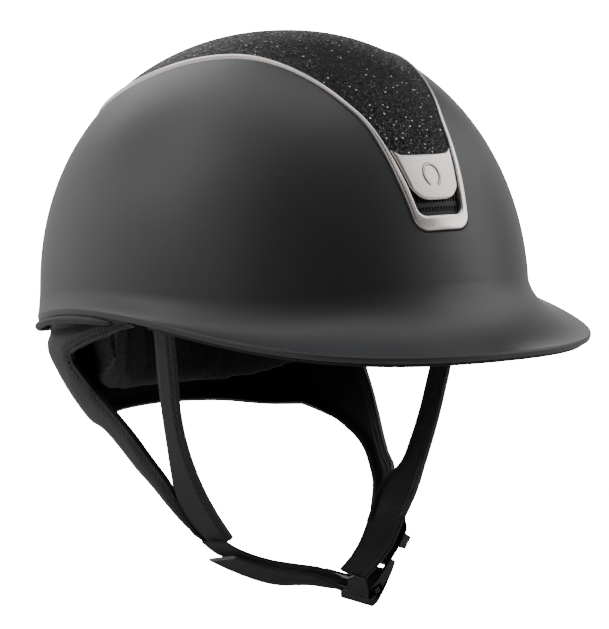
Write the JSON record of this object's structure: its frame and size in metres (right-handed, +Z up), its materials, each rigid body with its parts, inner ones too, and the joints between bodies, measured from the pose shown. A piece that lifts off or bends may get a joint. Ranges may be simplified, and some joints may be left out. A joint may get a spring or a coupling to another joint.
{
  "type": "equestrian riding helmet",
  "caption": "Riding helmet with a flared peak, framed glitter top panel, padded liner, leather-look harness and chin strap with side-release buckle.",
  "frame": {"origin": "centre of the head opening, level with the shell's side rim", "axes": "+Z up to the crown, -Y to the peak, +X to the wearer's left, where the buckle is"},
  "size_m": [0.2238, 0.316, 0.2836],
  "materials": {
    "shell_lacquer": "satin matt anthracite lacquer",
    "polished_trim": "polished, slightly warm silver",
    "glitter_fabric": "charcoal fabric with fine sparkle",
    "leather_look": "grained matt synthetic leather with stitching",
    "webbing": "woven black webbing",
    "liner_fabric": "ribbed wicking fabric over foam",
    "eps_foam": "moulded bead foam",
    "black_plastic": "moulded acetal, satin"
  },
  "bodies": {
    "root": {"outer_shell": "shell_lacquer", "trim_frame": "polished_trim", "badge_plate": "polished_trim", "badge_emblem": "polished_trim", "top_panel": "glitter_fabric", "nape_panel": "leather_look", "front_strap_right": "leather_look", "front_strap_left": "leather_look", "rear_strap_right": "leather_look", "rear_strap_left": "leather_look", "strap_sleeve_right": "leather_look", "strap_sleeve_left": "leather_look", "rear_piping": "leather_look", "peak_lining": "leather_look", "chin_guard": "leather_look", "chin_webbing": "webbing", "left_webbing": "webbing", "brow_pad": "liner_fabric", "side_pad_right": "liner_fabric", "side_pad_left": "liner_fabric", "crown_pad": "liner_fabric", "nape_pad": "liner_fabric", "foam_liner": "eps_foam", "front_vent_grille": "black_plastic", "rear_vent_grille": "black_plastic", "strap_anchor_right": "black_plastic", "strap_anchor_left": "black_plastic", "buckle_socket": "black_plastic", "liner_fastener_1": "black_plastic", "liner_fastener_2": "black_plastic", "liner_fastener_3": "black_plastic", "liner_fastener_4": "black_plastic"},
    "plug": {"buckle_plug": "black_plastic", "webbing_tail": "webbing"},
    "arm_front": {"release_arm_front": "black_plastic"},
    "arm_rear": {"release_arm_rear": "black_plastic"},
    "slider": {"webbing_slider": "black_plastic"}
  },
  "joints": [
    {"name": "buckle_release", "type": "slide", "parent": "root", "child": "plug", "axis": [-0.9063, 0, -0.4226], "range_m": [0, 0.014], "deforming": ["chin_webbing"]},
    {"name": "front_arm_press", "type": "slide", "parent": "plug", "child": "arm_front", "axis": [0, 1, 0], "range_m": [0, 0.002], "stiffness_N_per_m": 2500},
    {"name": "rear_arm_press", "type": "slide", "parent": "plug", "child": "arm_rear", "axis": [0, -1, 0], "range_m": [0, 0.002], "stiffness_N_per_m": 2500},
    {"name": "slider_travel", "type": "slide", "parent": "root", "child": "slider", "axis": [-0.5402, 0, -0.8415], "range_m": [-0.003, 0.004]}
  ]
}
